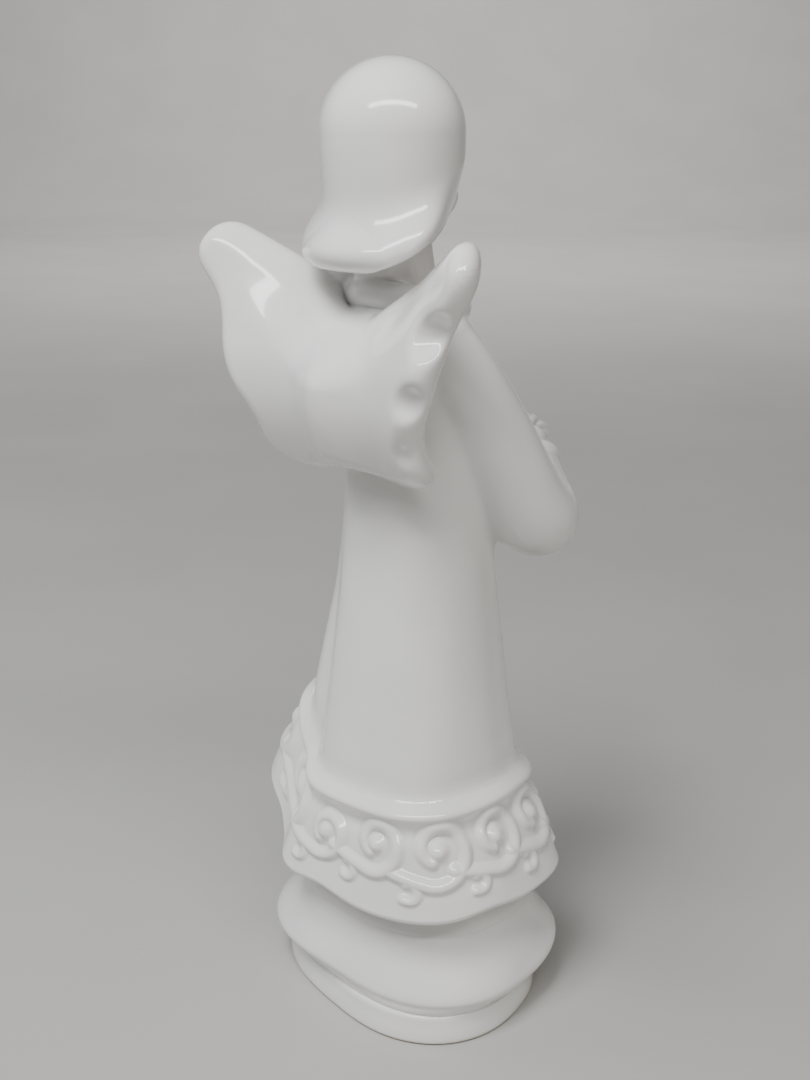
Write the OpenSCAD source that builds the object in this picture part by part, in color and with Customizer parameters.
// Slip-cast porcelain angel: hollow robe in stacked tiers, with luted head, arms and wings.
// Front is -Y, the figure's own left is +X, up is +Z, and the foot stands on z = 0.

/* [Foot] */
// Width of the oval foot, side to side
foot_w = 62; // [58:1:66]
// Depth of the oval foot, front to back
foot_d = 50; // [46:1:54]
// Height of the foot
foot_h = 6; // [5:0.5:6.5]
// Wall of the foot ring
foot_wall = 4.5; // [3.5:0.5:6]
// Thickness of the floor plate
floor_t = 2.5; // [2:0.5:3.5]
// Diameter of the firing vent in the floor plate
vent_d = 8; // [5:1:12]

/* [Skirt tiers] */
// Width of the lower flounce at its edge
flounce_w = 66; // [64:1:68]
// Depth of the lower flounce at its edge
flounce_d = 54; // [52:1:56]
// Height of the flounce edge
flounce_edge_z = 10; // [9.5:0.5:12]
// Height where the flounce meets the underskirt
tier_z = 22; // [20:0.5:24]
// Width of the underskirt
underskirt_w = 52; // [50:1:54]
// Depth of the underskirt
underskirt_d = 44; // [42:1:46]
// Width of the border at its lower edge
band_w = 63; // [61:1:65]
// Depth of the border at its lower edge
band_d = 56; // [54:1:58]
// Height of the border's lower edge
band_edge_z = 30; // [29:0.5:31]
// Height of the joint between border and robe, where the cord runs
cord_z = 53; // [52:0.5:55]
// Thickness of the raised cord
cord_t = 4.2; // [3.5:0.1:5]
// Wall of the hollow tiers
wall = 3; // [2.4:0.1:3.6]

/* [Scroll relief] */
// Number of scrolls round the border
scroll_n = 12; // [12:12]
// Thickness of a scroll ridge
scroll_t = 2.2; // [1.8:0.1:2.6]

/* [Robe] */
// Radius of the robe at the cord
robe_hem_r = 22.4; // [21.5:0.1:23]
// Radius of the robe under the arms
robe_chest_r = 13.5; // [12.5:0.1:14.5]
// Height where the shoulders start
chest_z = 140; // [138:0.5:142]
// Height of the neck seat
neck_z = 152; // [151:0.5:154]

/* [Head and wings] */
// Overall height to the crown of the hair
figure_h = 200; // [198:0.5:202]
// Half width of the hair cap
hair_r = 14; // [13:0.25:15]
// Half span of the wings to their tips
wing_span = 37; // [35:0.5:38]
// Height of the wing tips
wing_tip_z = 170; // [168:0.5:172]
// Thickness of a wing
wing_t = 8; // [7:0.25:9]

/* [Hidden] */

glaze = "#f2f0ec";
glaze_shade = "#e4e2de";
biscuit = "#d8cfc2";
around = 44;        // points round a tier
squareness = 2.4;   // exponent of the oval outlines, 2 is a true ellipse
wing_y = 22;        // how far behind the axis the wings stand
head_y = 6;         // the head sits a little behind the axis
head_z = 180;

// ---- oval tiers ----

function sign_pow(v, e) = sign(v) * pow(abs(v), e);
function oval(a, b, z, t) = [a * sign_pow(cos(t), 2 / squareness),
    b * sign_pow(sin(t), 2 / squareness), z];
function ring(s) = [for (i = [0 : around - 1]) oval(s[0], s[1], s[2], 360 * i / around)];

// A hollow tier: the closed section, a list of [half width, half depth, height] that goes
// up the outside and down the inside, is carried round the oval.
module tier(section) {
    m = len(section);
    points = [for (s = section) each ring(s)];
    faces = [for (j = [0 : m - 1]) for (i = [0 : around - 1])
        let (k = (j + 1) % m, i2 = (i + 1) % around)
        each [[j * around + i, k * around + i, k * around + i2],
            [j * around + i, k * around + i2, j * around + i2]]];
    polyhedron(points, faces, convexity = 6);
}

// A solid stack of ovals, closed with flat ends.
module stack(sections) {
    m = len(sections);
    points = [for (s = sections) each ring(s)];
    sides = [for (j = [0 : m - 2]) for (i = [0 : around - 1]) let (i2 = (i + 1) % around)
        each [[j * around + i, (j + 1) * around + i, (j + 1) * around + i2],
            [j * around + i, (j + 1) * around + i2, j * around + i2]]];
    lower = [for (i = [0 : around - 1]) i];
    upper = [for (i = [around - 1 : -1 : 0]) (m - 1) * around + i];
    polyhedron(points, concat([lower, upper], sides), convexity = 4);
}

// ---- profiles, each [half width, half depth] at a height ----

function mix(p, q, u) = p + (q - p) * u;
function robe_r(z) = z <= chest_z
    ? robe_chest_r + (robe_hem_r - robe_chest_r) * pow(1 - (z - cord_z) / (chest_z - cord_z), 1.35)
    : robe_chest_r - (robe_chest_r - neck_r) * pow((z - chest_z) / (neck_z - chest_z), 2);
function robe_level(z, inset = 0) = let (lean = (z - cord_z) / (neck_z - cord_z))
    [robe_r(z) * mix(1, 1.06, lean) - inset, robe_r(z) * mix(1, 0.94, lean) - inset, z];
cord_low_z = cord_z - cord_t / 2;
cord_high_z = cord_z + cord_t / 2;
neck_r = 8.5;        // radius of the robe at the neck seat
robe_zs = [cord_z, cord_high_z, 62, 71, 79, 88, 98, 109, 120, 130, chest_z, 143.5, 146.5, 149, neck_z];
band_top = [robe_hem_r, robe_hem_r, cord_z];
function band_level(z, inset = 0) = let (u = pow((cord_z - z) / (cord_z - band_edge_z), 1.15))
    [mix(band_top[0], band_w / 2, u) - inset, mix(band_top[1], band_d / 2, u) - inset, z];
ledge_z = 36;       // the border sits on the underskirt here
band_zs = [band_edge_z + 2, ledge_z, 41, 46, cord_low_z];
flounce_top = [underskirt_w / 2 + 0.5, underskirt_d / 2 + 0.5, tier_z];
foot_top = [foot_w / 2 - 1.5, foot_d / 2 - 1.5, foot_h];

// ---- foot and skirt ----

module foot_outline(inset) {
    polygon([for (i = [0 : around - 1])
        let (p = oval(foot_w / 2 - inset, foot_d / 2 - inset, 0, 360 * i / around)) [p[0], p[1]]]);
}
rebate = 2;         // the floor plate laps this far over the foot's inner ledge
module foot() {
    color(glaze) difference() {
        linear_extrude(foot_h) foot_outline(0);
        translate([0, 0, -1]) linear_extrude(foot_h + 2) foot_outline(foot_wall + rebate);
        translate([0, 0, foot_h - floor_t]) linear_extrude(floor_t + 1) foot_outline(foot_wall);
    }
}
module base_floor() {
    color(biscuit) difference() {
        translate([0, 0, foot_h - floor_t]) linear_extrude(floor_t) foot_outline(foot_wall);
        translate([0, 0, foot_h - floor_t - 1]) cylinder(h = floor_t + 2, d = vent_d, $fn = 48);
    }
}
module lower_flounce() {
    lip = 2;
    color(glaze) tier([
        [foot_w / 2 - 0.5, foot_d / 2 - 0.5, foot_h],
        [flounce_w / 2 - lip, flounce_d / 2 - lip, flounce_edge_z - lip],
        [flounce_w / 2, flounce_d / 2, flounce_edge_z],
        [flounce_w / 2 - 0.8, flounce_d / 2 - 0.8, flounce_edge_z + lip],
        [flounce_w / 2 - 3.2, flounce_d / 2 - 2.6, mix(flounce_edge_z, tier_z, 0.55)],
        flounce_top,
        [flounce_top[0] - wall, flounce_top[1] - wall, tier_z],
        [flounce_w / 2 - 3 - wall, flounce_d / 2 - 3 - wall, flounce_edge_z],
        [foot_w / 2 - foot_wall, foot_d / 2 - foot_wall, foot_h]]);
}
module underskirt() {
    top = [underskirt_w / 2 - 1, underskirt_d / 2 - 0.5];
    color(glaze_shade) tier([flounce_top,
        [underskirt_w / 2 - 0.3, underskirt_d / 2 - 0.3, tier_z + 3],
        [top[0], top[1], ledge_z],
        [top[0] - wall, top[1] - wall, ledge_z],
        [flounce_top[0] - wall, flounce_top[1] - wall, tier_z]]);
}
module hem_band() {
    seat = [underskirt_w / 2 - 1 - wall, underskirt_d / 2 - 0.5 - wall];
    edge = band_level(band_edge_z);
    color(glaze) tier(concat(
        [[edge[0] - 1, edge[1] - 1, band_edge_z]],
        [for (z = band_zs) band_level(z)],
        [band_top, [band_top[0] - wall, band_top[1] - wall, cord_z]],
        [[seat[0], seat[1], ledge_z + wall], [seat[0], seat[1], ledge_z]],
        [band_level(ledge_z, wall)],
        [band_level(band_edge_z + 1, wall)]));
}
module hem_cord() {
    half = cord_t / 2;
    low = band_level(cord_low_z);
    high = robe_level(cord_high_z);
    bulge = [for (k = [-60, -20, 20, 60])
        [robe_hem_r + half * cos(k), robe_hem_r + half * cos(k), cord_z + half * sin(k)]];
    color(glaze) tier(concat([low], bulge, [high, band_top]));
}

// ---- scrolls ----

scroll_step = 360 / scroll_n;
scroll_mid_z = 43.5;    // the eye of a scroll stands at this height on the border
scroll_h = 5.4;         // radius of a scroll from its eye to its crown
turns = 1.35;           // turns of the spiral
scroll_k = 15;          // stations along one scroll
tail_turn = 0.72;       // share of the stations that wind round the eye
start_a = 150;          // the spiral starts at minus this angle
end_a = 360 * turns - start_a;
pitch = PI * (robe_hem_r + (band_w + band_d) / 4) / scroll_n;
tail_l = pitch - scroll_h * (1 + cos(end_a)) - scroll_t * 0.4;
// Place on the border: along is in millimetres round it, up is the height.
function on_band(at, along, up) = let (
    s = band_level(up), r = (s[0] + s[1]) / 2, t = at + along / r * 180 / PI) oval(s[0], s[1], up, t);
function scroll_pt(u) = u < tail_turn
    ? let (v = u / tail_turn, r = scroll_h * mix(0.18, 1, v), a = 360 * turns * v - start_a)
        [r * cos(a), r * sin(a)]
    : let (v = (u - tail_turn) / (1 - tail_turn))
        [scroll_h * cos(end_a) + v * tail_l, scroll_h * sin(end_a) - 1.2 * sin(180 * v)];
module scroll(i) {
    at = scroll_step * (i - 0.5);
    color(glaze) difference() {
        for (k = [0 : scroll_k - 2]) hull() {
            for (j = [k, k + 1]) {
                p = scroll_pt(j / (scroll_k - 1));
                translate(on_band(at, p[0], scroll_mid_z + p[1])) sphere(d = scroll_t, $fn = 6);
            }
        }
        band_solid();
    }
}
module band_solid() {
    stack(concat([[band_level(band_edge_z)[0] - 1, band_level(band_edge_z)[1] - 1, band_edge_z]],
        [for (z = band_zs) band_level(z)], [band_top]));
}

// ---- robe ----

module robe() {
    n = len(robe_zs) - 1;
    color(glaze) tier(concat(
        [for (z = robe_zs) robe_level(z)],
        [for (j = [n : -1 : 0]) robe_level(robe_zs[j], wall)]));
}
module robe_solid(extra = 0) {
    stack([for (z = robe_zs) robe_level(z, -extra)]);
}

// ---- blended limbs ----

// One station of a limb: a ball at p with radius r, flattened to the factors f.
module ball(p, r, f = [1, 1, 1], fn = 20) {
    translate(p) scale(f) sphere(r, $fn = fn);
}
// A limb: each station is [place, radius], joined to the next by a hull.
module limb(stations, f = [1, 1, 1], fn = 18) {
    for (k = [0 : len(stations) - 2]) hull() {
        ball(stations[k][0], stations[k][1], f, fn);
        ball(stations[k + 1][0], stations[k + 1][1], f, fn);
    }
}
// The point on a smooth curve through a list of points.
function cubic(p0, p1, p2, p3, u) = pow(1 - u, 3) * p0 + 3 * u * pow(1 - u, 2) * p1
    + 3 * u * u * (1 - u) * p2 + u * u * u * p3;

// Sleeve: from the shoulder down and forward to the bent elbow, then in to the wrist.
shoulder = [11.5, 1, 142];
elbow = [19.5, -14.5, 107.5];
wrist = [7, -27, 114];
arm_k = 5;          // stations on each half of the arm
function upper_arm(u) = cubic(shoulder, [15, -4, 132], [18.5, -10, 119], elbow, u);
function forearm(u) = cubic(elbow, [20, -18, 105], [13, -23.5, 109], wrist, u);
module arm_shape() {
    limb([for (k = [0 : arm_k]) [upper_arm(k / arm_k), mix(7.5, 9.2, k / arm_k)]]);
    limb([for (k = [0 : arm_k]) [forearm(k / arm_k), mix(9.2, 6.4, k / arm_k)]]);
}
wrist_reach = 2.4;  // how far the rounded mouth reaches past the wrist
module sleeve() {
    difference() {
        arm_shape();
        robe_solid();
        other_side();
    }
}
module left_sleeve() { color(glaze) sleeve(); }
module right_sleeve() { color(glaze) mirror([1, 0, 0]) sleeve(); }

// Cuff: a roll round the mouth of the sleeve.
cuff_r = 5.4;       // radius of the roll's centre line
cuff_t = 3;         // thickness of the roll
cuff_k = 14;
// Two directions across the sleeve's mouth.
mouth = (wrist - forearm(0.8)) / norm(wrist - forearm(0.8));
across = cross(mouth, [0, 0, 1]) / norm(cross(mouth, [0, 0, 1]));
upward = cross(across, mouth);
function cuff_pt(k) = let (t = 360 * k / cuff_k)
    wrist + mouth * (wrist_reach + 0.6) + cuff_r * (across * cos(t) + upward * sin(t));
module cuff_roll() {
    for (k = [0 : cuff_k - 1]) hull() {
        ball(cuff_pt(k), cuff_t / 2, fn = 10);
        ball(cuff_pt(k + 1), cuff_t / 2, fn = 10);
    }
}
module cuff() {
    difference() {
        cuff_roll();
        arm_shape();
        other_side();
        robe_solid();
    }
}
module left_cuff() { color(glaze) cuff(); }
module right_cuff() { color(glaze) mirror([1, 0, 0]) cuff(); }

// Hand: palm and four fingers laid flat against the other hand, pointing forward, and a thumb.
palm = [3.4, -32.5, 118.6];
finger_dir = [-0.12, -1, -0.08];
finger_l = 6.5;     // length of the longest finger past the palm
finger_gap = 1.5;   // spacing of the fingers, one above the other
module hand() {
    limb([for (k = [0 : 4]) [mix(wrist, palm, k / 4), mix(3.6, 3.2, k / 4)]], fn = 14);
    for (k = [0 : 3]) {
        root = palm + [-1.1, -1, 2.3 - finger_gap * k];
        hull() {
            ball(root, 1.35, fn = 10);
            ball(root + finger_dir * (finger_l - abs(k - 1.3)), 1, fn = 10);
        }
    }
    hull() {
        ball(palm + [-1, 0.5, 2.6], 1.4, fn = 10);
        ball(palm + [-1.4, -3.2, 4.6], 1.1, fn = 10);
    }
}
module other_side() {
    // The half space beyond the plane between the two hands.
    translate([-50, -60, 60]) cube([50, 80, 80]);
}
module hand_past_cuff() {
    difference() {
        hand();
        arm_shape();
        cuff_roll();
        other_side();
    }
}
module left_hand() { color(glaze) hand_past_cuff(); }
module right_hand() { color(glaze) mirror([1, 0, 0]) hand_past_cuff(); }

// ---- neck, head and hair ----

collar_t = 4.6;     // thickness of the collar roll
collar_k = 16;
neck_rest_y = 0.5;  // the neck leaves the robe here and leans back to the head
plug_r = neck_r - wall - 1;
plug_l = 5;
function collar_pt(k) = let (t = 360 * k / collar_k)
    [(neck_r + 0.6) * cos(t), neck_rest_y + (neck_r + 0.2) * sin(t), neck_z + 1.2 + 1.4 * sin(t)];
module collar() {
    color(glaze) difference() {
        for (k = [0 : collar_k - 1]) hull() {
            ball(collar_pt(k), collar_t / 2, fn = 12);
            ball(collar_pt(k + 1), collar_t / 2, fn = 12);
        }
        robe_solid();
        neck_shape();
    }
}
module neck_shape() {
    translate([0, 0, neck_z - plug_l]) cylinder(r = plug_r, h = plug_l, $fn = 32);
    hull() {
        translate([0, neck_rest_y, neck_z]) cylinder(r = neck_r - 1, h = 0.1, $fn = 32);
        translate([0, head_y, neck_z + 16]) cylinder(r = neck_r - 1.4, h = 0.1, $fn = 32);
    }
}
module neck() {
    color(glaze) difference() {
        neck_shape();
        head_shape();
    }
}
module head_shape() {
    // Egg-shaped head, narrower at the chin.
    hull() {
        ball([0, head_y, head_z + 3], 11.2, [1, 1.06, 1.08], 28);
        ball([0, head_y - 4.2, head_z - 11], 6, [1, 1, 0.9], 24);
    }
}
module face() {
    // Plain sculpted features: brow, nose, lips, eyelids and ears.
    ball([0, head_y - 11.8, head_z - 2.2], 1.5, [0.9, 1, 1.2], 12);
    hull() {
        ball([0, head_y - 11.3, head_z + 2.2], 0.8, fn = 10);
        ball([0, head_y - 11.6, head_z - 2.4], 1.1, fn = 10);
    }
    for (s = [-1, 1]) {
        hull() {
            ball([s * 2.6, head_y - 10.6, head_z + 3.4], 0.7, fn = 8);
            ball([s * 6.4, head_y - 9.2, head_z + 3.2], 0.6, fn = 8);
        }
        hull() {
            ball([s * 3.1, head_y - 10.4, head_z + 0.8], 1.2, fn = 10);
            ball([s * 5.4, head_y - 9.6, head_z + 0.6], 1, fn = 10);
        }
    }
    for (z = [-6.1, -7.6]) hull() {
        ball([-2, head_y - 10, head_z + z], 0.7, fn = 8);
        ball([2, head_y - 10, head_z + z], 0.7, fn = 8);
    }
}
module head() {
    color(glaze) union() {
        head_shape();
        face();
    }
}

// Hair: a bob cap over the head, open at the face, with its lower edge flipped outward.
lip_z = 160;        // lowest point of the hair, at the back
hair_k = 7;         // levels of the cap below the crown
face_rise = 16;     // the edge climbs this much from the nape to the cheeks
crown_z = figure_h - hair_r * 1.06;
function hair_flare(u) = 2.4 * pow(u, 4);
module hair_level(u) {
    flare = hair_flare(u);
    ball([0, head_y + 1 + flare * 0.6, mix(crown_z, lip_z, u)], hair_r + flare,
        [1, 1.03, u == 0 ? 1.06 : 0.1], 32);
}
module hair_shape() {
    for (k = [0 : hair_k - 1]) hull() {
        hair_level(k / hair_k);
        hair_level((k + 1) / hair_k);
    }
}
module hair() {
    color(glaze) difference() {
        hair_shape();
        head_shape();
        // Opening for the face.
        hull() {
            ball([0, head_y - 16, head_z + 4], 9, fn = 28);
            ball([0, head_y - 16, lip_z - 8], 10.5, fn = 28);
        }
        // Hollow round the neck.
        hull() {
            translate([0, head_y - 1, lip_z - 6]) cylinder(r = 11, h = 0.1, $fn = 36);
            translate([0, head_y - 1, head_z - 8]) cylinder(r = 10, h = 0.1, $fn = 36);
        }
        // Slanting lower edge, from the nape up to the cheeks.
        rotate([-atan(face_rise / (2 * hair_r)), 0, 0])
            translate([-40, -60, lip_z - 50]) cube([80, 80, 44.5]);
    }
}

// ---- wings ----

// Wing: a thick plate between an inner line, from the back up along the leading edge, and an
// outer line through the feather ends. Both lines end at the tip.
function wing_inner(u) = cubic([4, wing_y - 4, 127], [2, wing_y + 1, 146],
    [19, wing_y - 4, 160], [wing_span - 4.5, wing_y + 2, wing_tip_z - 5], u);
function wing_outer(u) = cubic([15, wing_y - 4, 127], [24, wing_y + 6, 133],
    [24, wing_y + 5, 150], [wing_span - 4, wing_y + 3.5, wing_tip_z - 7], u);
wing_k = 6;         // feathers along the outer edge
edge_r = wing_t / 2;
module wing_shape() {
    for (k = [0 : wing_k - 1]) hull() {
        for (j = [k, k + 1]) {
            ball(wing_inner(j / wing_k), mix(edge_r + 2, edge_r, j / wing_k), fn = 16);
            ball(wing_outer(j / wing_k), edge_r, fn = 14);
        }
    }
    // Feather ends: a soft lobe at each station of the outer edge.
    for (k = [0 : wing_k - 1]) hull() {
        ball(wing_outer((k + 0.35) / wing_k) + [0.9, 0.3, -1.1], edge_r, fn = 14);
        ball(wing_inner((k + 0.5) / wing_k), edge_r - 0.5, fn = 12);
    }
}
// Root: the pad that carries the wing on the back.
module wing_root() {
    hull() {
        ball([5, 9, 139], 6, [1, 1, 1.6], 18);
        ball([5, wing_y - 1, 136], 6, [1, 0.9, 1.6], 18);
    }
}
module wing() {
    difference() {
        union() {
            wing_shape();
            wing_root();
        }
        robe_solid();
        translate([-50, -10, 90]) cube([50, 60, 100]);
    }
}
module left_wing() { color(glaze) wing(); }
module right_wing() { color(glaze) mirror([1, 0, 0]) wing(); }

foot();
base_floor();
lower_flounce();
underskirt();
hem_band();
hem_cord();
robe();
collar();
neck();
head();
hair();
left_sleeve();
right_sleeve();
left_cuff();
right_cuff();
left_hand();
right_hand();
left_wing();
right_wing();
scroll(1);  // scroll_01
scroll(2);  // scroll_02
scroll(3);  // scroll_03
scroll(4);  // scroll_04
scroll(5);  // scroll_05
scroll(6);  // scroll_06
scroll(7);  // scroll_07
scroll(8);  // scroll_08
scroll(9);  // scroll_09
scroll(10);  // scroll_10
scroll(11);  // scroll_11
scroll(12);  // scroll_12
